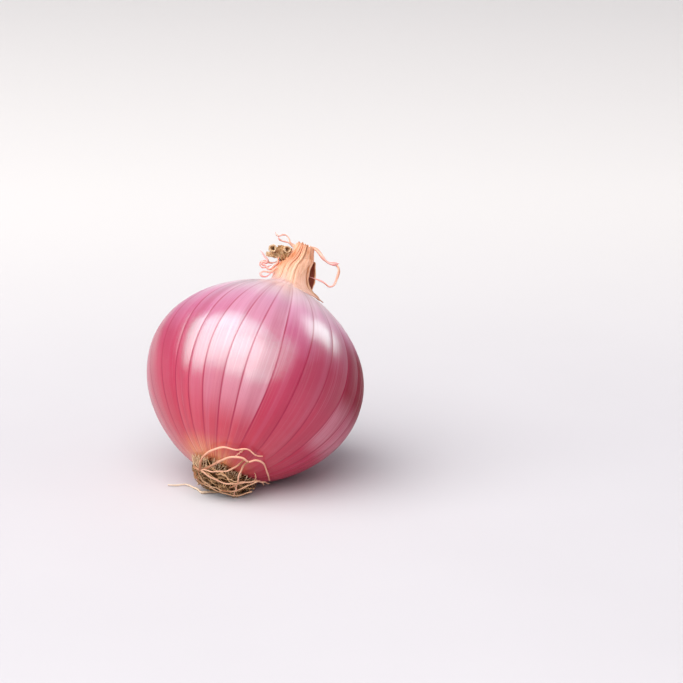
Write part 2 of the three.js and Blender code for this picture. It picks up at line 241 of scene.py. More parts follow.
def new_object(name, points, faces, material, values=None, normals=None):
    """A smooth mesh object from row-frame points and quads, with named values on its points."""
    mesh = bpy.data.meshes.new(name)
    mesh.from_pydata(np.asarray(points).reshape(-1, 3).tolist(), [], np.asarray(faces).tolist())
    mesh.update()
    mesh.polygons.foreach_set("use_smooth", np.ones(len(mesh.polygons), bool))
    for label, data in (values or {}).items():
        data = np.asarray(data, np.float32)
        if data.ndim == 1:
            mesh.attributes.new(label, "FLOAT", "POINT").data.foreach_set("value", data)
        else:
            mesh.attributes.new(label, "FLOAT_VECTOR", "POINT").data.foreach_set("vector", data.ravel())
    if normals is not None:
        mesh.normals_split_custom_set_from_vertices(np.asarray(normals).tolist())
    mesh.materials.append(material)
    piece = bpy.data.objects.new(name, mesh)
    bpy.context.scene.collection.objects.link(piece)
    return piece


def point_normals(points, faces):
    """Area-weighted normals of a quad mesh."""
    points = points.reshape(-1, 3)
    a, b, c, d = (points[faces[:, k]] for k in range(4))
    flat = np.cross(c - a, d - b)
    normals = np.zeros_like(points)
    for k in range(4):
        np.add.at(normals, faces[:, k], flat)
    return normals / np.maximum(np.linalg.norm(normals, axis=1, keepdims=True), 1e-12)


def smooth_curve(points, count):
    """Evenly spaced points on a natural cubic spline through the given points."""
    points = np.asarray(points, float)
    knots = run_along(points)
    spans = np.linalg.norm(np.diff(points, axis=0), axis=1)
    n = len(points)
    system = np.eye(n)
    right = np.zeros_like(points)
    for i in range(1, n - 1):
        before, after = spans[i - 1], spans[i]
        system[i, i - 1:i + 2] = before, 2 * (before + after), after
        right[i] = 6 * ((points[i + 1] - points[i]) / after - (points[i] - points[i - 1]) / before)
    bend = np.linalg.solve(system, right)
    t = np.linspace(0, knots[-1], count)
    k = np.clip(np.searchsorted(knots, t, side="right") - 1, 0, n - 2)
    span = spans[k][:, None]
    left = (knots[k + 1] - t)[:, None]
    gone = (t - knots[k])[:, None]
    bent = bend[k] * left ** 3 / (6 * span) + bend[k + 1] * gone ** 3 / (6 * span)
    from_start = (points[k] / span - bend[k] * span / 6) * left
    to_end = (points[k + 1] / span - bend[k + 1] * span / 6) * gone
    return bent + from_start + to_end


def strand_rings(path, widths, sides, flat=1.0, twist=0.0):
    """Rings of points round a path, in mm. flat is thickness over width, and twist is how far the
    section turns along the path, in radians."""
    along = unit(np.gradient(path, axis=0))
    any_side = [0.31, 0.22, 0.92]
    side = np.cross(along[0], any_side)
    turns = 2 * np.pi * np.arange(sides) / sides
    rings = []
    for i, centre in enumerate(path):
        side = unit(side - along[i] * (side @ along[i]))
        up = np.cross(along[i], side)
        spin = twist * i / len(path)
        first = side * math.cos(spin) + up * math.sin(spin)
        second = up * math.cos(spin) - side * math.sin(spin)
        section = np.outer(np.cos(turns), first) + flat * np.outer(np.sin(turns), second)
        rings.append(centre + widths[i] / 2 * section)
    return np.array(rings)


def strands_piece(name, material, strands):
    """One mesh of strands, each given by its path, widths, sides and tone, and perhaps by its flatness
    and twist. It has a tone for each strand and the share of the way along it."""
    points, faces, tones, shares = [], [], [], []
    count = 0
    for path, widths, sides, tone, *section in strands:
        rings = strand_rings(path, widths, sides, *section)
        steps = len(rings)
        points.append(rings.reshape(-1, 3))
        faces.append(grid_faces(steps, sides, True) + count)
        for ring in (np.arange(sides)[::-1], (steps - 1) * sides + np.arange(sides)):
            for k in range(1, sides // 2 * 2 - 2, 2):
                faces.append(ring[[0, k, k + 1, k + 2]][None] + count)
        tones.append(np.full(steps * sides, tone))
        shares.append(np.repeat(np.linspace(0, 1, steps), sides))
        count += steps * sides
    values = {"tone": np.concatenate(tones), "along": np.concatenate(shares)}
    placed = to_row(np.concatenate(points), TABLE_GAP)
    return new_object(name, placed, np.concatenate(faces), material, values)


# Material making

def give(node, **values):
    """Sets a node's inputs by name, with _ for a space."""
    for name, value in values.items():
        node.inputs[name.replace("_", " ")].default_value = value


class Shader:
    """A Principled material whose nodes are made by short calls."""

    def __init__(self, name, **fixed):
        self.material = bpy.data.materials.new(name)
        self.material.use_nodes = True
        self.tree = self.material.node_tree
        self.surface = self.tree.nodes["Principled BSDF"]
        give(self.surface, **fixed)

    def plug(self, node, values):
        """Links or sets a node's inputs, by name or number."""
        for name, value in values.items():
            if isinstance(value, bpy.types.NodeSocket):
                self.tree.links.new(value, node.inputs[name])
            else:
                node.inputs[name].default_value = value

    def make(self, kind, values, output, **settings):
        """An output of a new node."""
        made = self.tree.nodes.new(kind)
        for name, value in settings.items():
            setattr(made, name, value)
        self.plug(made, values)
        return made.outputs[output]

    def value(self, attribute, output="Fac"):
        return self.make("ShaderNodeAttribute", {}, output, attribute_name=attribute)

    def position(self):
        return self.make("ShaderNodeTexCoord", {}, "Object")

    def math(self, operation, *inputs, clamp=False):
        return self.make("ShaderNodeMath", dict(enumerate(inputs)), 0, operation=operation, use_clamp=clamp)

    def times(self, first, second):
        return self.math("MULTIPLY", first, second)

    def stretch(self, vector, *scale):
        return self.make("ShaderNodeVectorMath", {0: vector, 1: scale}, 0, operation="MULTIPLY")

    def noise(self, vector, scale=1.0, detail=3.0, rough=0.55, distort=0.0):
        values = {"Vector": vector, "Scale": scale, "Detail": detail, "Roughness": rough,
                  "Distortion": distort}
        return self.make("ShaderNodeTexNoise", values, "Fac")

    def step(self, value, low, high, to_low=0.0, to_high=1.0):
        values = {"Value": value, "From Min": low, "From Max": high, "To Min": to_low, "To Max": to_high}
        return self.make("ShaderNodeMapRange", values, "Result", interpolation_type="SMOOTHSTEP")

    def zone(self, value, start, full, fading, end, top=1.0):
        """A share that rises from start to full, and falls from fading to end."""
        return self.times(self.step(value, start, full), self.step(value, end, fading, 0.0, top))

    def ramp(self, value, stops):
        colour = self.make("ShaderNodeValToRGB", {0: value}, "Color")
        elements = colour.node.color_ramp.elements
        for k in (0, -1):
            elements[k].position = stops[k][0]
            elements[k].color = (*srgb(stops[k][1]), 1)
        for place, tint in stops[1:-1]:
            elements.new(place).color = (*srgb(tint), 1)
        return colour

    def mix(self, share, *colours):
        first, second = ((*srgb(c), 1) if isinstance(c, str) else c for c in colours)
        return self.make("ShaderNodeMix", {"Factor": share, 6: first, 7: second}, 2, data_type="RGBA")

    def coats(self, colour, *coats):
        """A colour under coats, each given as how much it covers and its own colour."""
        for share, over in coats:
            colour = self.mix(share, colour, over)
        return colour

    def bump(self, height, distance, strength=1.0):
        values = {"Height": height, "Distance": distance, "Strength": strength}
        return self.make("ShaderNodeBump", values, "Normal")

    def finish(self, colour, roughness, normal):
        self.plug(self.surface, {"Base Color": colour, "Roughness": roughness, "Normal": normal})
        return self.material


def srgb(text):
    """Linear colour from a hexadecimal one."""
    parts = [int(text[i:i + 2], 16) / 255 for i in (0, 2, 4)]
    return tuple(c / 12.92 if c <= 0.04045 else ((c + 0.055) / 1.055) ** 2.4 for c in parts)


# Colours of the moist skin, by reach. The pale lilac toward the neck is partly the skin's own colour
# and partly painted highlight and reflection of the white surroundings
SKIN_COLOURS = [(0.00, "D88E50"), (0.06, "E48A5C"), (0.12, "DC6A56"), (0.20, "C4384C"), (0.34, "B8284C"),
                (0.48, "B22E56"), (0.56, "C05C84"), (0.64, "D690B0"), (0.71, "E8C0D0"), (0.78, "EAC6CE")]


def bulb_colour(s, reach, broad, bands, streaks, fine, vein):
    """Pink skin, coral at the roots, with pale and deep bands, fine streaks and dark veins. It has
    painted shade on the bands toward the right rim, and paler painted reflection under and beside the
    highlight and low on the shaded bands.
    """
    deep = s.value("deep")
    cool = s.value("cool")
    wander = s.math("MULTIPLY_ADD", s.math("SUBTRACT", broad, 0.5), 0.10, reach)
    wander = s.math("MULTIPLY_ADD", s.math("SUBTRACT", streaks, 0.5), 0.03, wander)
    # Painted shade: the bands marked by 'deep' darken, most strongly toward the right rim
    painted_shade_share = s.math("MULTIPLY", deep, s.zone(reach, 0.33, 0.45, 0.56, 0.68), clamp=True)
    # Zones of painted reflection: under the highlight, and beside it on the shoulder
    under_shine = s.zone(reach, 0.23, 0.34, 0.35, 0.44)
    beside_shine = s.math("ADD", under_shine, s.zone(reach, 0.49, 0.54, 0.58, 0.68, 0.8))
    # Painted reflection on the bands whose 'deep' is below 0
    painted_reflection = s.math("MULTIPLY", deep, -1.0, clamp=True)
    # Painted reflection low on the shaded bands by the right rim
    painted_low_reflection = s.times(s.zone(reach, 0.25, 0.32, 0.38, 0.47, 0.65), s.step(streaks, 0.35, 0.6, 0.5, 1.0))
    glow_reach = s.math("MULTIPLY_ADD", cool, 3.0, reach)
    root_glow = s.times(s.step(glow_reach, 0.21, 0.10), s.step(streaks, 0.38, 0.58))
    return s.coats(s.ramp(s.math("ADD", wander, cool), SKIN_COLOURS),
                   (painted_shade_share, "861228"),
                   (s.times(painted_reflection, beside_shine), "D8A0B4"),
                   (s.times(s.step(deep, 0.5, 0.8), painted_low_reflection), "D494A4"),
                   (s.step(bands, 0.5, 0.75, 0, 0.12), "C87496"),
                   (s.step(bands, 0.46, 0.25, 0, 0.3), "9C2044"),
                   (s.step(streaks, 0.5, 0.75, 0, 0.16), "D08CA0"),
                   (s.step(fine, 0.5, 0.3, 0, 0.2), "8E2040"),
                   (s.times(root_glow, 0.7), "F0B474"),
                   (s.times(vein, 0.8), "9C0C3C"))


def neck_colour(s, reach, broad, streaks, crinkle, ridges):
    """Peach paper skin, blotched and stained orange, with painted shade in its creases and in the hollow
    behind the flap.
    """
    # Painted shade in the creases of the gathers toward the torn end
    crease = s.times(s.step(s.value("pleat"), 0.40, 0.05), s.step(reach, 0.79, 0.86, 0.25, 0.85))
    # The painted shade behind the flap runs from dark red to tan toward the right, streaked
    to_tan = s.math("ADD", s.value("right_side"), s.times(streaks, 0.5))
    return s.coats(s.mix(s.step(reach, 0.80, 0.93), "EEB4A6", "F0AE90"),
                   (s.times(s.step(broad, 0.5, 0.66), 0.4), "DE9860"),
                   (s.times(s.step(crinkle, 0.5, 0.66), 0.45), "D08858"),
                   (s.times(s.value("stain"), s.step(streaks, 0.3, 0.6, 0.4, 1.0)), "CC6A2C"),
                   (crease, "B05C28"),
                   (s.step(ridges, 0.52, 0.68, 0, 0.7), "F2CAB0"),
                   (s.step(ridges, 0.47, 0.34, 0, 0.6), "C07048"),
                   (s.value("hollow"), s.mix(s.step(to_tan, 0.25, 0.95), "963420", "E8A878")))


def vein_share(s, reach, fine):
    """How strongly a vein shows: in a thin line, less near the roots and near the neck."""
    line = s.times(s.step(s.value("vein_mm"), 0.38, 0.10), s.step(fine, 0.15, 0.5, 0.75, 1.0))
    line = s.times(line, s.step(reach, 0.10, 0.30, 0.15, 1.0))
    return s.times(line, s.step(reach, 0.72, 0.52, 0.45, 1.0))


def skin_material(name):
    """Skin of bulb and neck. 'reach' runs from 0 at the root end to 1 at the neck's torn end, 'place'
    holds the cosine and sine of longitude and reach, and 'dry' is the distance in mm from the edge
    of the dry neck. The noises are stretched along the meridians."""
    s = Shader(name, Coat_Roughness=0.27, Coat_IOR=1.6, IOR=1.45, Specular_IOR_Level=0.25)
    reach = s.value("reach")
    place = s.value("place", "Vector")
    broad = s.noise(s.stretch(place, 2.2, 2.2, 0.9), 1.6, 2)
    bands = s.noise(s.stretch(place, 9, 9, 0.7), 1, 1)
    streaks = s.noise(s.stretch(place, 55, 55, 2.5), 1, 4, 0.6)
    fine = s.noise(s.stretch(place, 190, 190, 5), 1, 3, 0.6)
    crinkle = s.noise(s.stretch(place, 16, 16, 46), 1, 5, 0.65, 0.4)
    ridges = s.noise(s.stretch(place, 22, 22, 9), 1, 5, 0.65)
    frayed = s.times(s.math("SUBTRACT", streaks, 0.5), 7.0)
    dry = s.step(s.math("ADD", s.value("dry"), frayed), -2.6, 1.4)
    vein = vein_share(s, reach, fine)
    moist_colour = bulb_colour(s, reach, broad, bands, streaks, fine, vein)
    colour = s.mix(dry, moist_colour, neck_colour(s, reach, broad, streaks, crinkle, ridges))
    rough = s.math("ADD", s.step(dry, 0, 1, 0.34, 0.62), s.step(streaks, 0.3, 0.7, -0.04, 0.06))
    waxy = s.times(s.value("gloss"), s.step(streaks, 0.3, 0.7, 0.85, 1.0))
    waxy = s.times(waxy, s.step(vein, 0.0, 1.0, 1.0, 0.35))
    matt_side = s.times(s.step(s.value("deep"), 0.5, 0.9), s.step(reach, 0.30, 0.40))
    s.plug(s.surface, {"Coat Weight": s.times(waxy, s.step(dry, 0.0, 0.6, 1.0, 0.0)),
                       "Specular IOR Level": s.step(matt_side, 0.0, 1.0, 0.25, 0.03)})
    relief = s.math("ADD", s.times(streaks, 0.6), s.times(fine, 0.4))
    folds = s.math("MULTIPLY_ADD", ridges, 5.0, s.times(crinkle, 2.5))
    relief = s.math("MULTIPLY_ADD", folds, dry, relief)
    return s.finish(colour, rough, s.bump(relief, 0.00012, 0.5))


def shred_material():
    """Dry pinkish-peach strips of leaf."""
    s = Shader("shred", Specular_IOR_Level=0.4)
    mottle = s.noise(s.position(), 900, 4)
    colour = s.coats(s.mix(s.step(s.value("along"), 0.0, 1.0), "F0A488", "EE9698"),
                     (s.times(s.step(mottle, 0.5, 0.3), 0.6), "C87860"),
                     (s.times(s.value("tone"), 0.35), "F6CCB0"))
    grain = s.noise(s.position(), 2600, 3)
    return s.finish(colour, s.step(mottle, 0.3, 0.7, 0.5, 0.7), s.bump(grain, 0.00008, 0.5))


def leaf_material(name):
    """Khaki-brown dead leaf, with painted shade where its tone is low, in fold hollows and toward the
    start of a roll, and painted highlight toward a roll's open end.
    """
    s = Shader(name, Specular_IOR_Level=0.03)
    blotch = s.noise(s.position(), 420, 5)
    fibre = s.noise(s.stretch(s.value("place", "Vector"), 6.0, 40.0, 1.0), 1.0, 3)
    tone = s.value("tone")
    khaki = s.ramp(blotch, [(0.30, "A0744C"), (0.45, "CC9C70"), (0.60, "E0B890"), (0.75, "ECC8A0")])
    colour = s.coats(khaki,
                     (s.times(s.step(fibre, 0.55, 0.35), 0.5), "946C44"),
                     # Painted shade where the tone is low, painted highlight where it is high
                     (s.step(tone, 0.1, 0.6, 0.4, 0.0), "7A4828"),
                     (s.step(tone, 0.8, 1.0, 0.0, 0.6), "E0C0A0"))
    return s.finish(colour, s.step(blotch, 0.3, 0.7, 0.85, 0.6), s.bump(fibre, 0.00015, 0.6))


def root_material(name, pale, middle, dark):
    """Dry root fibre, with painted shade where a strand dives into the mat."""
    s = Shader(name, Specular_IOR_Level=0.03)
    mottle = s.noise(s.position(), 700, 4)
    colour = s.coats(s.mix(s.value("tone"), middle, pale),
                     # Painted shade near the start of each strand, deep in the mat
                     (s.step(s.value("along"), 0.35, 0, 0, 0.8), dark),
                     (s.times(s.step(mottle, 0.46, 0.30), 0.35), dark))
    grain = s.noise(s.position(), 2400, 3)
    return s.finish(colour, s.step(mottle, 0.3, 0.7, 0.8, 0.6), s.bump(grain, 0.0001, 0.6))


def plate_material():
    """Corky brown plate that the roots grow from, its own brown deepened with painted shade as the floor of
    the nest.
    """
    s = Shader("root_plate", Specular_IOR_Level=0.05)
    lumps = s.noise(s.position(), 500, 6)
    colour = s.ramp(lumps, [(0.3, "180802"), (0.5, "341804"), (0.7, "5C3410")])
    return s.finish(colour, s.step(lumps, 0.3, 0.7, 0.95, 0.8), s.bump(lumps, 0.0005, 0.8))


def floor_material():
    """Pale lilac-grey table top, faintly mottled, that turns white toward the back."""
    s = Shader("table", Specular_IOR_Level=0.0)
    cloud = s.noise(s.position(), 6, 3)
    back = (-math.sin(VIEW_AZIMUTH), math.cos(VIEW_AZIMUTH), 0)
    away = s.make("ShaderNodeVectorMath", {0: s.position(), 1: back}, "Value", operation="DOT_PRODUCT")
    near = s.ramp(cloud, [(0.3, "D2CED3"), (0.7, "D6D2D7")])
    paper = s.mix(s.step(away, 0.0, 0.45), near, "ECE8E8")
    return s.finish(paper, s.step(cloud, 0.3, 0.7, 0.5, 0.6), s.bump(cloud, 0.0001, 0.2))


# Skin of bulb and neck

COLUMNS_PER_BAND = 16
BULB_ROWS = 190
NECK_ROWS = 110


def skin_columns():
    """Longitudes of the skin's columns in radians, closer together at the veins, with each one's
    place across its band, its band's number and the band's width in radians."""
    even = np.arange(COLUMNS_PER_BAND) / COLUMNS_PER_BAND
    crowded = 0.5 - 0.5 * np.cos(np.pi * even)
    shares = 0.55 * crowded + 0.45 * even
    starts = np.radians(VEINS)
    widths = np.diff(np.append(starts, starts[0] + 2 * np.pi))
    longitude = (starts[:, None] + widths[:, None] * shares).ravel()
    band = np.repeat(np.arange(len(starts)), COLUMNS_PER_BAND)
    return longitude, np.tile(shares, len(starts)), band, widths[band]


def skin_outline():
    """Radius and height down the skin from the root end to the torn end of the neck."""
    polar = np.radians(np.linspace(180 - 0.6, 31, BULB_ROWS))
    bulb = np.stack([outline_radius(polar) * np.sin(polar), outline_radius(polar) * np.cos(polar)], -1)
    shoulder = np.radians([34, 31, 28, 25, 22, 19])
    knots = [(outline_radius(a) * math.sin(a), outline_radius(a) * math.cos(a)) for a in shoulder]
    neck = smooth_curve(knots + NECK_OUTLINE, NECK_ROWS * 4)
    neck = neck[neck[:, 1] > bulb[-1, 1] + 0.1]
    neck = neck[np.linspace(0, len(neck) - 1, NECK_ROWS).round().astype(int)]
    return np.concatenate([bulb, neck])


OUTLINE = skin_outline()


def from_right(longitude):
    """Degrees from the longitude that lies to the right, from -180 to 180."""
    return (np.degrees(longitude) - RIGHT_LONGITUDE + 180) % 360 - 180


def sway(height):
    """Sideways shift of the skin's middle at a height, in mm, as x and y."""
    shift = np.interp(height, *zip(*NECK_SWAY))
    right = math.radians(RIGHT_LONGITUDE)
    return shift * math.cos(right), shift * math.sin(right)


def round_axis(radius, turn, height):
    """Points at a radius from the skin's swaying middle, in mm."""
    shift_x, shift_y = sway(height)
    return radius * np.cos(turn) + shift_x, radius * np.sin(turn) + shift_y


def to_axis(points):
    """Radius and longitude of points, seen from the skin's swaying middle."""
    shift_x, shift_y = sway(points[:, 2])
    x, y = points[:, 0] - shift_x, points[:, 1] - shift_y
    return np.hypot(x, y), np.arctan2(y, x)


def vein_wander(share, band, height):
    """How far the columns stray round the bulb, in radians, as each vein does in its own way."""
    phase = np.array([between(i + 80, 0, 6.28) for i in range(len(VEINS))])
    at_vein = np.sin(height / 9 + phase[band])
    at_next = np.sin(height / 9 + np.roll(phase, -1)[band])
    return VEIN_WANDER * (at_vein + (at_next - at_vein) * share) * smoothstep(np.abs(height), 34, 26)


def band_relief(share, band, width, radius):
    """Height of the skin over its smooth outline: crowned bands, each tilted a little its own way,
    with a groove along each vein. Returns the height and the distance to the nearest vein."""
    tilt = np.array([between(i + 40, -1, 1) for i in range(len(VEINS))])[band]
    to_vein = np.minimum(share, 1 - share) * width * radius
    crown = CROWN * np.sin(np.pi * share)
    lean_share = BAND_LEAN * tilt * np.sin(2 * np.pi * share)
    groove = GROOVE_DEPTH * np.exp(-(to_vein / GROOVE_WIDTH) ** 2)
    return (crown + lean_share - groove - RELIEF_SUNK) * np.clip(radius / 18, 0, 1), to_vein


def band_light():
    """The same three values as the front bands have, for all bands round the bulb."""
    others = range(len(VEINS) - len(FRONT_BANDS))
    rest = [(between(i + 140, -3, 3), between(i + 170, 0.4, 0.9), between(i + 200, 0, 0.5)) for i in others]
    return np.array(FRONT_BANDS + RIGHT_RIM + rest[len(RIGHT_RIM):-1] + LEFT_RIM)


def neck_pleats(longitude, height):
    """Depth of the neck's gathers, from 0 in a crease to 1 on a fold, by longitude and height."""
    warped = longitude + 0.28 * np.sin(2 * longitude + 0.6) + 0.16 * np.sin(3 * longitude + 2.1)
    drift = 0.045 * (height - 30)
    coarse = np.abs(np.cos(4.5 * warped + drift))
    fine = np.abs(np.cos(10.5 * warped - 1.7 * drift + 0.8))
    return 0.6 * coarse + 0.4 * fine


def pleat_height(longitude, height):
    """How far the gathers stand over or under the neck's outline, in mm."""
    amount = smoothstep(height, 28.5, 34) * (0.35 + 0.65 * smoothstep(height, 33, 41))
    return PLEAT_HEIGHT * amount * (neck_pleats(longitude, height) - PLEAT_LEVEL)


def hollow_share(longitude, height):
    """Where the neck is sunk behind its torn flap on the right, from 0 to 1."""
    turn = from_right(longitude)
    window = smoothstep(turn, -42, -24) * fade(turn, 12, 40)
    return window * smoothstep(height, 30.0, 32.0) * fade(height, 38.5, 41.0)


def tear_drop(longitude, height):
    """How far the torn end is shifted along the neck, in mm: ragged, with one notch."""
    at, wide, deep = NOTCH
    ragged = 0.2 * np.sin(3 * longitude + 1) + 0.2 * np.sin(8 * longitude) + 0.2 * np.sin(17 * longitude + 2)
    notch = deep * np.exp(-((from_right(longitude) - at) / wide) ** 2)
    return (ragged - notch - 0.5) * smoothstep(height, 42, NECK_TOP)


def stain_share(longitude, height):
    """How far the neck is stained orange, from 0 to 1."""
    turn = from_right(longitude)
    spots = [np.exp(-((turn - at) / wide) ** 2 - ((height - up) / tall) ** 2)
             for at, up, wide, tall in STAINS]
    return np.clip(np.sum(spots, axis=0), 0, 1)


def dry_distance(longitude, height, radius):
    """Distance up the skin from the edge of the dry neck, in mm: below 0 on the moist bulb."""
    edge = np.interp(from_right(longitude), *zip(*DRY_EDGE))
    edge = edge + 0.5 * np.sin(9 * longitude) + 0.35 * np.sin(23 * longitude + 1)
    return np.radians(edge - np.degrees(np.arctan2(radius, height))) * np.hypot(radius, height)


def skin_points(turn, share, band, width):
    """The skin's grid of points, in mm, and the distance of each to the nearest vein."""
    radius, height = OUTLINE[:, :1], OUTLINE[:, 1:]
    relief, to_vein = band_relief(share[None], band, width[None], radius)
    relief = relief * fade(height, 26, 30)
    lumps = 0.22 * np.sin(2 * turn + 0.09 * height + 1.0) + 0.15 * np.sin(3 * turn - 0.07 * height)
    relief = relief + lumps * np.clip(radius / BULB_RADIUS, 0, 1)
    relief = relief + pleat_height(turn, height) - HOLLOW_DEPTH * hollow_share(turn, height)
    x, y = round_axis(np.maximum(radius + relief, 0.6), turn, height)
    return np.stack([x, y, height + tear_drop(turn, height)], -1), to_vein


def skin_values(turn, band, to_vein):
    """The shader's values on the skin's grid."""
    radius, height = OUTLINE[:, :1], OUTLINE[:, 1:]
    run = run_along(OUTLINE)
    reach = (run / run[-1])[:, None] + 0 * turn
    gloss, deep = band_light()[band].T[1:]
    orange_side = np.cos(turn - math.radians(ORANGE_LONGITUDE))
    # 'deep' carries painted shade above 0 and paler painted reflection below 0; 'hollow' and 'right_side'
    # carry the painted shade behind the flap
    return {"reach": reach, "place": np.stack([np.cos(turn), np.sin(turn), reach], -1),
            "vein_mm": to_vein + 0 * turn, "gloss": gloss + 0 * turn, "deep": deep + 0 * turn,
            "cool": 0.09 * (1 - orange_side) * smoothstep(reach, 0.40, 0.18),
            "pleat": neck_pleats(turn, height), "dry": dry_distance(turn, height, radius),
            "hollow": hollow_share(turn, height), "stain": stain_share(turn, height),
            "right_side": smoothstep(from_right(turn), *HOLLOW_SHADE)}


def skin_normals(row_points, share, band):
    """Shading normals of the skin, turned a little toward the neck or the roots on each band."""
    facing = band_light()[band].T[0]
    flat_part = smoothstep(share, 0, 0.12) * fade(share, 0.88, 1) * fade(OUTLINE[:, 1:], 24, 30)
    rows, columns = row_points.shape[:2]
    normals = point_normals(row_points, grid_faces(rows, columns, True)).reshape(rows, columns, 3)
    toward_neck = unit(np.gradient(row_points, axis=0))
    return unit(normals + toward_neck * (np.radians(facing) * flat_part)[..., None])


def skin_pieces(materials):
    """The skin as one grid, split at a ring on the shoulder into the bulb's and the neck's piece.
    Returns the two, and the points of the torn end."""
    longitude, share, band, width = skin_columns()
    turn = longitude[None] + vein_wander(share, band, OUTLINE[:, 1:])
    points, to_vein = skin_points(turn, share, band, width)
    values = skin_values(turn, band, to_vein)
    row_points = to_row(points)
    normals = skin_normals(row_points, share, band)
    rows, columns = turn.shape
    polar = np.degrees(np.arctan2(OUTLINE[:, 0], OUTLINE[:, 1]))
    seam = int(np.argmax(polar < SEAM_POLAR))
    made = []
    for material, first, last in zip(materials, (0, seam), (seam, rows - 1)):
        part = slice(first, last + 1)
        count = last + 1 - first
        faces = grid_faces(count, columns, True)
        chosen = {label: data[part].reshape(count * columns, -1).squeeze()
                  for label, data in values.items()}
        chosen_normals = normals[part].reshape(-1, 3)
        made.append(new_object(material.name, row_points[part], faces, material, chosen, chosen_normals))
    return made, points[-1]


def flat_values(reach, turn, **given):
    """Shader values of a dry sheet away from the veins."""
    values = {"reach": reach, "turn": turn, "vein_mm": 9.0, "dry": 9.0, "pleat": 0.0, "hollow": 0.0,
              "gloss": 0.0, "deep": 0.0, "stain": 0.0, "cool": 0.0, "right_side": 0.0, **given}
    arrays = np.broadcast_arrays(*values.values())
    values = {label: data.ravel() for label, data in zip(values, arrays)}
    turn = values.pop("turn")
    values["place"] = np.stack([np.cos(turn), np.sin(turn), values["reach"]], -1)
    return values


# How the wall of the torn end narrows as it goes down inside: share of its radius, and mm down
MOUTH_RINGS = [(0.93, 0.05), (0.84, -0.2), (0.72, -0.9), (0.58, -2.0), (0.33, -2.8), (0.02, -3.0)]


def neck_mouth(rim, material):
    """The inside of the neck's torn end: the wall turns over its edge and goes down into the dark."""
    columns = len(rim)
    shift_x, shift_y = sway(NECK_TOP)
    centre = np.array([shift_x, shift_y, 0])
    turn = np.arctan2(rim[:, 1] - shift_y, rim[:, 0] - shift_x)
    rows = [rim]
    for scale, drop in MOUTH_RINGS:
        rows.append((rim - centre) * [scale, scale, 1] + centre + [0, 0, drop])
    depth = np.linspace(0, 1, len(rows))[:, None]
    # Pleat falls and hollow rises down the inside: painted shade that deepens into the neck
    values = flat_values(1.0, turn[None], pleat=0.6 * (1 - depth), hollow=smoothstep(depth, 0.2, 0.6))
    faces = grid_faces(len(rows), columns, True)
    return new_object("neck_mouth", to_row(np.array(rows)), faces, material, values)


# Neck: flap layers and shreds

def neck_curve(points, count):
    return smooth_curve([beside_neck(*point) for point in points], count)


# Torn layers of the neck: degrees from the right and heights at which each leaves the neck, the
# points of its free edge, across, along and behind the axis, how late it swings out to that edge,
# its thickness and crease in mm, and how much painted shade darkens its inside
FRONT_FLAP = {
    "left": -82, "left_heights": [28.6, 29.6, 31.5, 34, 36.5, 38.5, 40.5],
    "edge": [(12.4, 29.1, -2.5), (10.6, 30.1, -2.5), (8.5, 31.2, -2.5), (6.6, 32.7, -2.5), (5.7, 34.2, -2.5),
             (5.3, 36.0, -2.5), (5.1, 38.2, -2.5), (5.2, 39.7, -2.3), (5.0, 41.4, -1.9)],
    "power": 2.2, "thickness": 0.3, "crease": 0.3, "brown": 0.3}
REAR_FLAP = {
    "left": 75, "left_heights": [29.3, 31.5, 35, 38.5, 42],
    "edge": [(7.0, 30.6, 1.0), (7.5, 32.3, 1.0), (7.8, 34.6, 1.0), (7.1, 38.0, 1.0), (5.6, 41.8, 0.6)],
    "power": 1.6, "thickness": 0.2, "crease": 0.0, "brown": 0.9}


def sheet_piece(name, grid, thickness, material, values, inside=None):
    """A thin torn sheet with a back and edges, from a grid of points in mm. The back has the same
    shader values as the front unless it is given its own."""
    rows, columns = grid.shape[:2]
    faces = grid_faces(rows, columns, False)
    normals = point_normals(grid, faces).reshape(grid.shape)
    both = np.concatenate([grid.reshape(-1, 3), (grid - normals * thickness).reshape(-1, 3)])
    back = faces[:, ::-1] + rows * columns
    index = np.arange(rows * columns).reshape(rows, columns)
    border = np.concatenate([index[0, :-1], index[:-1, -1], index[-1, :0:-1], index[:0:-1, 0]])
    after = np.roll(border, -1)
    rim = np.stack([border, border + rows * columns, after + rows * columns, after], -1)
    doubled = {label: np.concatenate([data, (inside or values)[label]]) for label, data in values.items()}
    return new_object(name, to_row(both), np.concatenate([faces, back, rim]), material, doubled)


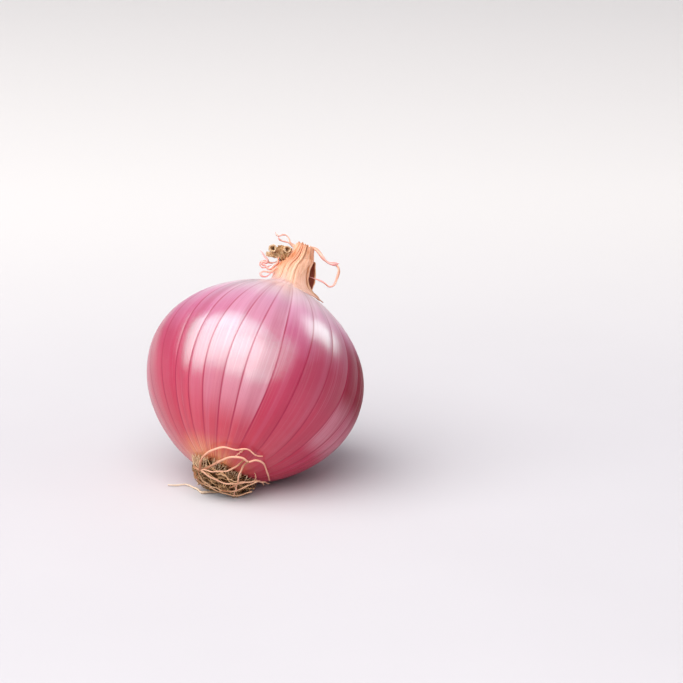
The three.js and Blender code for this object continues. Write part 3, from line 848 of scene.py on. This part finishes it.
def neck_layer(name, material, left, left_heights, edge, power, thickness, crease, brown):
    """A torn layer of the neck, which stands off it more and more toward its free edge."""
    rows, columns = 54, 44
    free = neck_curve(edge, rows)
    v = np.linspace(0, 1, rows)[:, None]
    nicks = 0.05 * np.abs(np.sin(15 * v + 0.6)) ** 3 + 0.02 * np.abs(np.sin(41 * v))
    u = np.linspace(0, 1, columns)[None] * (1 - nicks * (1 - v))
    free_radius, free_turn = to_axis(free)
    upper = OUTLINE[150:]
    run = run_along(upper)
    apart = np.hypot(upper[None, :, 0] - free_radius[:, None], upper[None, :, 1] - free[:, 2:3])
    run_free = run[apart.argmin(1)][:, None]
    run_left = np.interp(np.interp(v, np.linspace(0, 1, len(left_heights)), left_heights), upper[:, 1], run)
    along = run_left + (run_free - run_left) * u
    radius, height = np.interp(along, run, upper[:, 0]), np.interp(along, run, upper[:, 1])
    left_turn = math.radians(RIGHT_LONGITUDE + left)
    swing = (np.degrees(free_turn - left_turn) + 180) % 360 - 180
    turn = left_turn + np.radians(swing)[:, None] * u + np.radians(0.8) * np.sin(11 * v + 3 * u)
    radius = radius + pleat_height(turn, height) * (1 - u ** 2)
    body = np.stack([*round_axis(radius, turn, height), height], -1)
    below_tip = fade(v, 0.7, 0.95)
    stand = 0.10 * smoothstep(u, 0.0, 0.1) - 0.12 * fade(u, 0.0, 0.06)
    stand = stand - crease * np.exp(-((u - 0.80 - 0.03 * np.sin(5 * v)) / 0.05) ** 2) * below_tip
    stand = stand + 0.05 * np.sin(26 * v + 9 * u) * u
    outward = np.stack([np.cos(turn), np.sin(turn), 0.35 + 0 * turn], -1)
    offset = (free - body[:, -1])[:, None] * (u ** power)[..., None]
    grid = body + offset + outward * stand[..., None]
    # Painted shade along the crease, carried by lowering the pleat value
    shade = crease * 3 * np.exp(-((u - 0.80) / 0.06) ** 2) * below_tip
    both = {"reach": 0.80 + 0.16 * v + 0 * u, "turn": turn, "stain": stain_share(turn, height),
            "pleat": np.clip(neck_pleats(turn, height) - shade, 0, 1)}
    outer = flat_values(**both)
    # The inside of the layer takes painted shade, turning tan toward its free edge
    inner = flat_values(**both, hollow=brown, right_side=smoothstep(u, 0.9, 1.0))
    sides = (outer, inner) if swing.mean() > 0 else (inner, outer)
    return sheet_piece(name, grid, thickness, material, *sides)


# Curled shreds of dry leaf: width, the share of it left at the tip, then across, along and behind
# the neck's axis
SHREDS = [
    (1.0, 0.75, [(-2.2, 41.5, 0.4), (-4.6, 39.6, -0.6), (-5.8, 38.5, -1.2), (-5.5, 37.1, -1),
        (-6.2, 35.7, -0.6), (-7.1, 34.4, 0), (-8, 34.4, 0.2), (-9.2, 35.1, 0.3), (-10.2, 35.2, 0.2),
        (-10.1, 35.8, 0), (-9, 36, -0.2), (-8.9, 36.8, -0.3), (-10.1, 37.6, -0.4), (-11.1, 38.5, -0.4),
        (-12.2, 39.1, -0.4)]),
    (0.9, 0.75, [(-2.8, 37.6, -0.6), (-3.8, 36.5, -1), (-4.6, 35.5, -1.6), (-5.7, 34.3, -2.2),
        (-6.4, 33, -2.6), (-8.2, 32.2, -3.2), (-9.5, 31.3, -3.4), (-9.5, 30.7, -3.4), (-8.4, 30.4, -3.2),
        (-7.3, 31, -2.8), (-6.6, 32.3, -2.6), (-6.1, 32.9, -2.4), (-5.5, 32.1, -2.2)]),
    (0.85, 0.75, [(-0.8, 43.2, 0), (-3, 44.4, 0), (-4.1, 45.1, -0.4), (-4.5, 45.8, -0.4),
        (-5.4, 46.6, -0.4), (-6.7, 46.8, -0.2), (-7.9, 46, 0), (-8.5, 46, 0.2), (-9.5, 46.8, 0.4)]),
    (0.8, 0.75, [(-1, 44.4, 0.6), (-3.1, 45, 1), (-5.1, 45.1, 1), (-6.5, 45, 1), (-7.5, 45.1, 0.8),
        (-8.2, 45.8, 0.4)]),
    (1.45, 0.75, [(2.6, 44.6, -0.4), (3.5, 45.6, -0.6), (4.7, 45.5, -0.8), (6.9, 44, -1.2),
        (8.4, 43, -1.2), (10.1, 42.5, -1.2), (11.8, 42.8, -1), (13.2, 43.5, -0.8)]),
    (1.15, 0.35, [(12, 43, -0.6), (13.3, 42.4, -0.4), (14, 41.1, -0.2), (14.1, 38.8, 0.2),
        (13.6, 36.1, 0.6), (12.6, 35.5, 0.5), (11.4, 35.9, 0.4), (9.6, 36.3, 0.2), (7.8, 36.3, 0),
        (5.2, 36.3, 0)]),
    (0.7, 0.75, [(-2.4, 40, 1.6), (-5.2, 38.6, 1.6), (-7.6, 36.8, 1.2), (-9.6, 36.6, 0.6),
        (-10.6, 36.1, 0.4), (-10.9, 35.2, 0.6), (-9.9, 34.3, 0.8), (-8.4, 34.9, 0.8), (-7, 36.2, 0.4)]),
]


def shred_piece():
    strands = []
    for i, (width, tip, shred) in enumerate(SHREDS):
        path = neck_curve(shred, 14 * len(shred))
        t = np.linspace(0, 1, len(path))
        pinch = (1 + 0.12 * np.sin(19 * t + i)) * np.minimum(1, (1 - t) * 9 + 0.25)
        strands.append((path, width * (1 + (tip - 1) * t) * pinch, 8, draw(i + 30), 0.6, 2.2 + i))
    return strands_piece("shreds", shred_material(), strands)


# Dead leaf

# Its rolled ends: name, path across, along and behind the neck's axis, radius, thickness, turns and
# the phase of its crumples
LEAF_ROLLS = [
    ("leaf_scroll", [(-3.6, 41.0, 0.9), (-5.4, 41.2, 0.5), (-7.2, 41.1, -0.1), (-8.3, 40.8, -1.1),
                     (-8.5, 40.5, -2.6)], 1.28, 0.42, 1.25, 0.4),
    ("leaf_curl", [(-6.8, 42.0, 0.6), (-5.6, 42.3, 0.2), (-4.4, 42.1, -0.8), (-3.9, 41.9, -2.2)],
     1.05, 0.3, 1.2, 2.1),
    ("leaf_knob", [(-6.2, 39.6, 0.2), (-7.8, 39.2, -0.2), (-9.0, 38.9, -0.6), (-9.7, 38.6, -0.9)],
     0.85, 0.35, 1.15, 4.4),
]

# Its crumpled scraps: name, four corners, thickness, folds and the phase of its crumples
LEAF_SCRAPS = [
    ("leaf_folds", [(-8.2, 40.2, 0.2), (-2.6, 42.8, -0.6), (-3.2, 38.3, -1.4), (-6.4, 38.2, -0.8)],
     0.2, 5.5, 1.0),
    ("leaf_back", [(-8.6, 40.6, 1.2), (-2.6, 43.8, 0.9), (-3.0, 40.0, 1.2), (-7.0, 38.8, 1.2)],
     0.2, 4.5, 3.0),
]


def leaf_place(*shares):
    return np.stack(np.broadcast_arrays(*shares), -1).reshape(-1, 3)


def scroll(name, path_points, radius, thickness, turns, phase):
    """A dead leaf end rolled into a loose tube, open at its end and crumpled along its length."""
    rows, columns = 44, 72
    path = neck_curve(path_points, rows)
    along = unit(np.gradient(path, axis=0))
    angle = 2 * np.pi * turns * np.linspace(0, 1, columns)[None]
    t = np.linspace(0, 1, rows)[:, None]
    wall = radius * (0.80 + 0.20 * angle / angle[0, -1])
    crumple = (0.13 * np.sin(3 * angle + 7 * t + phase) + 0.08 * np.sin(5 * angle - 17 * t + 2 * phase)
               + 0.05 * np.sin(11 * angle + 29 * t)) * radius * (1.15 - 0.75 * smoothstep(t, 0.8, 1.0))
    swell = 1 + 0.12 * np.sin(6 * t + phase) + 0.08 * smoothstep(t, 0.85, 1.0)
    reach = wall * swell + crumple
    side = unit(np.cross(along, [0.1, 0.05, 1.0]))
    up = np.cross(along, side)
    sideways = side[:, None] * (reach * np.cos(angle))[..., None]
    grid = path[:, None] + sideways + up[:, None] * (reach * np.sin(angle))[..., None]
    # Tone runs along the roll: painted shade at its start, painted highlight at its open end
    values = {"tone": np.broadcast_to(t, reach.shape).ravel(),
              "place": leaf_place(np.cos(angle), np.sin(angle), t)}
    return sheet_piece(name, grid, thickness, leaf_material(name), values)


def crumpled_leaf(name, corners, thickness, folds, phase):
    """A scrap of dead leaf between four corners, folded like a fan and crumpled."""
    rows, columns = 40, 48
    a, b, c, d = (beside_neck(*corner) for corner in corners)
    u = np.linspace(0, 1, columns)[None, :, None]
    v = np.linspace(0, 1, rows)[:, None, None]
    flat = (a * (1 - u) + b * u) * (1 - v) + (d * (1 - u) + c * u) * v
    across = unit(np.cross(b - a, d - a))
    u, v = u[..., 0], v[..., 0]
    height = 0.75 * np.sin(folds * np.pi * (u + 0.15 * np.sin(4 * v + phase))) * (0.5 + 0.5 * v)
    height = height + 0.22 * np.sin(9 * v + 7 * u + phase) + 0.10 * np.sin(21 * u - 13 * v)
    ragged = 0.35 * np.sin(13 * u + phase) * v ** 3
    grid = flat + across * height[..., None] + unit(d - a) * ragged[..., None]
    # Tone follows the height of the folds: painted shade in their hollows
    values = {"tone": np.clip(0.3 + 0.4 * height, 0, 0.75).ravel(), "place": leaf_place(u, 0.5 * u, v)}
    return sheet_piece(name, grid, thickness, leaf_material(name), values)


def dead_leaf_pieces():
    return [scroll(*roll) for roll in LEAF_ROLLS] + [crumpled_leaf(*scrap) for scrap in LEAF_SCRAPS]


# Roots

# How far the mat of roots reaches: longitude, and degrees from the root end
MAT_EDGE = [(0, 12), (60, 14), (90, 16), (125, 15.5), (140, 17.5), (160, 19), (175, 20), (195, 19.5),
            (210, 18), (222, 16), (242, 15.5), (262, 18), (280, 19), (300, 17), (330, 13), (360, 12)]

# Thickness of the mat of roots, in mm, by longitude
NEST_HEIGHT = [(0, 6.0), (60, 5.6), (110, 4.9), (170, 4.8), (210, 5.3), (250, 6.0), (360, 6.0)]

# Layers of the mat, from the inside darkened with painted shade to the pale top: number of roots, how
# high each may arch as a share of the thickness, the share of the reach where it may start, how far
# it may swing round in degrees, its width in mm and its tone
NEST_LAYERS = [(220, (0.1, 0.55), 0.05, 90, (0.22, 0.38), (0.0, 0.04)),
               (110, (0.5, 0.82), 0.1, 120, (0.26, 0.44), (0.02, 0.3)),
               (96, (0.78, 1.0), 0.12, 110, (0.24, 0.44), (0.3, 0.85))]
BRISTLES = 300

# Long stray roots: width, then degrees from the root end, longitude and height off the skin
STRAYS = [
    (0.75, [(19.8, 183, 5.2), (22.1, 183, 4.6), (23.7, 183, 3.6), (25.2, 187, 2.2), (28.6, 194, 1.6),
        (31.3, 202, 1.4), (33.5, 210, 1.4), (34.2, 218, 1.4), (36.3, 224, 1.4), (36.9, 228, 1.3),
        (35, 236, 1), (35.4, 243, 0.5)]),
    (0.5, [(36.3, 224, 1.4), (32.8, 222, 1.3), (29.2, 220, 1.2)]),
    (0.8, [(19.5, 184, 5), (21.7, 196, 4.2), (24.7, 204, 3.4), (28.3, 211, 2.8), (30.1, 216, 2.6),
        (31, 221, 2.5), (31.8, 228, 2.4), (31.3, 233, 2.4), (33.5, 236, 2.3), (34.1, 241, 2.1),
        (32.7, 249, 1.7), (29.6, 260, 1.3), (27.1, 271, 1.1), (25.6, 292, 0.7)]),
    (0.65, [(31.3, 233, 2.4), (28.5, 231, 3), (25.8, 231, 3.9), (22.8, 233, 4.9), (19.6, 237, 5.6),
        (15.5, 244, 6), (11.6, 257, 6.2)]),
    (0.6, [(31.4, 229, 2.4), (27.8, 226, 2.9), (24, 222, 3.6), (21.7, 213, 4.4), (20.6, 202, 5),
        (20.2, 190, 5.2), (18.9, 177, 5)]),
    (0.65, [(19.1, 168, 4), (19.8, 179, 5.2), (19, 189, 5.6), (17, 201, 5.8), (16.7, 217, 6), (18, 230, 6),
        (20.5, 237, 5.9), (22.5, 244, 5.2)]),
    (0.55, [(15.7, 234, 6.2), (21.2, 238, 5.8), (22.7, 246, 5), (23.9, 256, 4), (24.4, 273, 2.6),
        (25, 296, 1.4)]),
    (0.5, [(9.4, 227, 6), (12.1, 244, 6.2), (15.7, 247, 6), (19.5, 250, 5.6), (23.8, 255, 4.4),
        (22.8, 284, 2.6)]),
    (0.45, [(20.9, 267, 2.6), (24.5, 254, 3.2), (28.2, 245, 3.8)]),
    (0.55, [(14.6, 153, 4), (13, 158, 5), (9.9, 158, 5.3), (6.7, 169, 5.4), (5, 211, 5.6), (6.9, 249, 6),
        (11.1, 264, 6.2), (15.8, 265, 6), (19.7, 265, 5.6)]),
    (0.5, [(17.7, 174, 4.4), (16.2, 176, 5.2), (13.7, 176, 5.5), (10.8, 180, 5.6), (8.7, 202, 5.8),
        (9.4, 227, 6)]),
    (0.4, [(20.2, 206, 5.6), (21.3, 213, 5.4), (20.7, 222, 5.6), (20.8, 233, 5.8)]),
]

# The root that lies out on the table
TABLE_ROOT = [
    (0.85, [(4, 10, 4.4), (4.1, 69.8, 5.7), (6.1, 91.6, 6.6), (9.2, 84.9, 6.5), (13.3, 79.5, 6.3),
            (18.3, 79.4, 6.9), (21, 86.1, 8.7), (23.3, 90.9, 10.6)]),
]


def mat_reach(longitude):
    """Degrees from the root end that the mat reaches: less where the table is close."""
    reach = np.interp(longitude % 360, *zip(*MAT_EDGE))
    while reach > 8 and height_over_table(off_root_end(reach, longitude, 0.0)) < 1.5:
        reach -= 0.5
    return reach


MAT_REACH = [mat_reach(i) for i in range(360)]


def reach_at(longitude):
    return MAT_REACH[int(longitude) % 360]


def nest_root(index, arches, inner, swing):
    """Path of one root of the mat: it leaves the plate, arches out between two shares of the mat's
    thickness and bends round with the nest."""
    golden_angle = 137.508
    start = between(index + 500, inner, 0.9)
    finish = between(index + 600, inner + 0.25, 1.05)
    turn = between(index + 700, -swing, swing)
    arch = between(index + 800, *arches)
    knots = []
    for k in range(7):
        t = k / 6
        degrees = golden_angle * index + turn * t + between(index * 7 + k + 5000, -5, 5)
        share = start + (finish - start) * t + between(index * 7 + k + 7000, -0.05, 0.05)
        height = arch * (0.4 + 0.6 * math.sin(math.pi * (0.1 + 0.75 * t))) * (1.02 - 0.55 * share ** 5)
        height *= np.interp(degrees % 360, *zip(*NEST_HEIGHT))
        height += between(index * 7 + k + 900, -0.3, 0.3)
        knots.append(off_root_end(reach_at(degrees) * share, degrees, max(height, 0.4)))
    return smooth_curve(knots, 18)


def above_table(path, margin):
    """The same path, raised along the world's up where it would sink into the table."""
    short = np.maximum(margin - height_over_table(path), 0)
    up = np.array([-math.sin(LEAN), 0, math.cos(LEAN)])
    return path + short[:, None] * up


def nest_piece():
    """The woven mat: fine roots below, dark with painted shade, and paler, thicker ones round the top."""
    nest = []
    for count, arches, inner, swing, widths, tones in NEST_LAYERS:
        for index in range(len(nest), len(nest) + count):
            width = between(index + 1500, *widths)
            path = above_table(nest_root(index, arches, inner, swing), width / 2)
            nest.append((path, width * np.linspace(1, 0.45, len(path)), 5, between(index + 2500, *tones)))
    return strands_piece("root_nest", root_material("root_nest", "FFCF9C", "502608", "1A0802"), nest)


def bristle_piece():
    """Short stiff roots that stand up the skin round the rim, most of them away from the table."""
    bristles = []
    for i in range(BRISTLES):
        side = between(i + 1550, -1, 1)
        degrees = 160 + 180 * side * abs(side) ** 0.8
        reach = reach_at(degrees)
        thick_side = math.exp(-((degrees - 172) / 26) ** 2)
        length = between(i + 1700, -1.5, 0.6 + 2.6 * thick_side)
        steer = between(i + 1800, -7, 7)
        middle = between(i + 1900, 0.7, 1.8 + 2.2 * thick_side)
        tip = between(i + 2000, 0.2, 0.5 + 0.7 * thick_side)
        knots = [off_root_end(reach * 0.6, degrees - steer, 1.2),
                 off_root_end(reach * 0.85, degrees + steer * 0.3, middle),
                 off_root_end(reach + length, degrees + steer, tip)]
        width = between(i + 2100, 0.2, 0.42)
        path = above_table(smooth_curve(knots, 9), width / 2)
        bristles.append((path, width * np.linspace(1, 0.35, 9), 5, draw(i + 2200)))
    fibre = root_material("root_bristles", "FFE0C0", "A87850", "4C2410")
    return strands_piece("root_bristles", fibre, bristles)


def stray_piece(name, strays, *colours):
    strands = []
    for i, (width, stray) in enumerate(strays):
        path = smooth_curve([off_root_end(*point) for point in stray], 12 * len(stray))
        t = np.linspace(0, 1, len(path))
        wave = 0.10 * np.sin(23 * t[:, None] + np.arange(3) * 2 + i)
        path = above_table(path + wave, width / 2)
        widths = width * (1 - 0.5 * t) * (1 + 0.1 * np.sin(31 * t + i))
        strands.append((path, widths, 8, max(1 - 0.09 * i, 0)))
    return strands_piece(name, root_material(name, *colours), strands)


def plate_piece():
    """The corky plate on the root end, which is also the floor of the nest, dark with painted shade."""
    columns, rows = 120, 26
    turn = 2 * np.pi * np.arange(columns) / columns
    reach = np.array([reach_at(np.degrees(a)) for a in turn])
    reach = (reach + np.roll(reach, 3) + np.roll(reach, -3)) / 3
    t = np.linspace(0, 1, rows)[:, None]
    lumps = 0.35 * np.sin(5 * turn + 9 * t) + 0.3 * np.sin(11 * turn - 7 * t)
    lumps = lumps + 0.2 * np.sin(23 * turn + 21 * t)
    height = 0.05 + fade(t, 0.72, 1.0) * (1.5 + 0.4 * lumps) * (0.8 + 0.4 * np.sin(3 * t))
    points = off_root_end(0.3 + (0.86 * reach - 0.3) * t, np.degrees(turn), height)
    faces = grid_faces(rows, columns, True)[:, ::-1]
    return new_object("root_plate", to_row(points.reshape(-1, 3), 0.05), faces, plate_material())


def root_pieces():
    strays = stray_piece("root_strays", STRAYS, "F0B49C", "D4AC88", "8C5030")
    outlier = stray_piece("root_outlier", TABLE_ROOT, "ECD4BC", "D8B898", "A87C58")
    return [nest_piece(), bristle_piece(), strays, outlier, plate_piece()]


# Stage

def sight_line(azimuth, elevation):
    level = math.cos(elevation)
    return Vector((-math.sin(azimuth) * level, math.cos(azimuth) * level, -math.sin(elevation)))


def aim():
    """Camera place and turn that put the widest ring's middle on its pixel, upright."""
    target = Vector(to_row(np.array([0, 0, RING_HEIGHT])))
    place = target - VIEW_DISTANCE * sight_line(VIEW_AZIMUTH, VIEW_ELEVATION)
    focal = PIXELS_PER_METRE * VIEW_DISTANCE
    azimuth, elevation = VIEW_AZIMUTH, VIEW_ELEVATION
    for _ in range(AIM_ROUNDS):
        forward = sight_line(azimuth, elevation)
        right = forward.cross(Vector((0, 0, 1))).normalized()
        up = right.cross(forward)
        seen = target - place
        x = PICTURE / 2 + focal * seen.dot(right) / seen.dot(forward)
        y = PICTURE / 2 - focal * seen.dot(up) / seen.dot(forward)
        azimuth -= (x - RING_PIXEL[0]) / focal
        elevation -= (RING_PIXEL[1] - y) / focal
    return place, right, up, forward, focal


def make_camera():
    place, right, up, forward, focal = aim()
    data = bpy.data.cameras.new("camera")
    data.sensor_width = SENSOR_WIDTH
    data.lens = SENSOR_WIDTH * focal / PICTURE
    data.clip_end = 20
    camera = bpy.data.objects.new("camera", data)
    camera.matrix_world = Matrix((
        (right.x, up.x, -forward.x, place.x), (right.y, up.y, -forward.y, place.y),
        (right.z, up.z, -forward.z, place.z), (0, 0, 0, 1)))
    bpy.context.scene.collection.objects.link(camera)
    bpy.context.scene.camera = camera
    return right, up, -forward


def make_light(name, toward, distance, width, height, radiance, colour, diffuse):
    """A soft panel that faces the onion from a direction and shines evenly. One that leaves diffuse
    out is seen only in the gloss."""
    data = bpy.data.lights.new(name, "AREA")
    data.shape = "RECTANGLE"
    data.size = width
    data.size_y = height
    data.energy = radiance * math.pi * width * height
    data.color = colour
    light = bpy.data.objects.new(name, data)
    light.location = Vector(MIDDLE * METRES) + toward.normalized() * distance
    light.rotation_euler = (-toward).to_track_quat("-Z", "Y").to_euler()
    light.visible_diffuse = diffuse
    bpy.context.scene.collection.objects.link(light)


def make_stage():
    right, up, back = make_camera()
    corners = np.array([(-1, -1, 0), (1, -1, 0), (1, 1, 0), (-1, 1, 0)]) * TABLE_HALF
    floor = new_object("table", corners, [(0, 1, 2, 3)], floor_material())
    for name, ((across, over, behind), *settings) in LIGHTS.items():
        make_light(name, right * across + up * over + back * behind, *settings)
    world = bpy.data.worlds.new("studio")
    world.use_nodes = True
    give(world.node_tree.nodes["Background"], Color=(*srgb(SKY_COLOUR), 1), Strength=SKY_STRENGTH)
    bpy.context.scene.world = world
    bpy.context.scene.view_settings.view_transform = "Standard"


def attach(pieces, node):
    for piece in pieces:
        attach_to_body(piece, "root")
        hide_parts(node)


make_stage()
neck_material = skin_material("onion_neck")
(bulb_skin, neck_skin), torn_rim = skin_pieces([skin_material("onion_bulb"), neck_material])
attach([bulb_skin], "bulb")
neck_parts = [
    neck_skin,
    neck_mouth(torn_rim, neck_material),
    neck_layer("neck_flap_front", neck_material, **FRONT_FLAP),
    neck_layer("neck_flap_rear", neck_material, **REAR_FLAP),
    shred_piece(),
]
attach(neck_parts, "neck")
attach(dead_leaf_pieces(), "leaf_roll")
attach(root_pieces(), "roots")
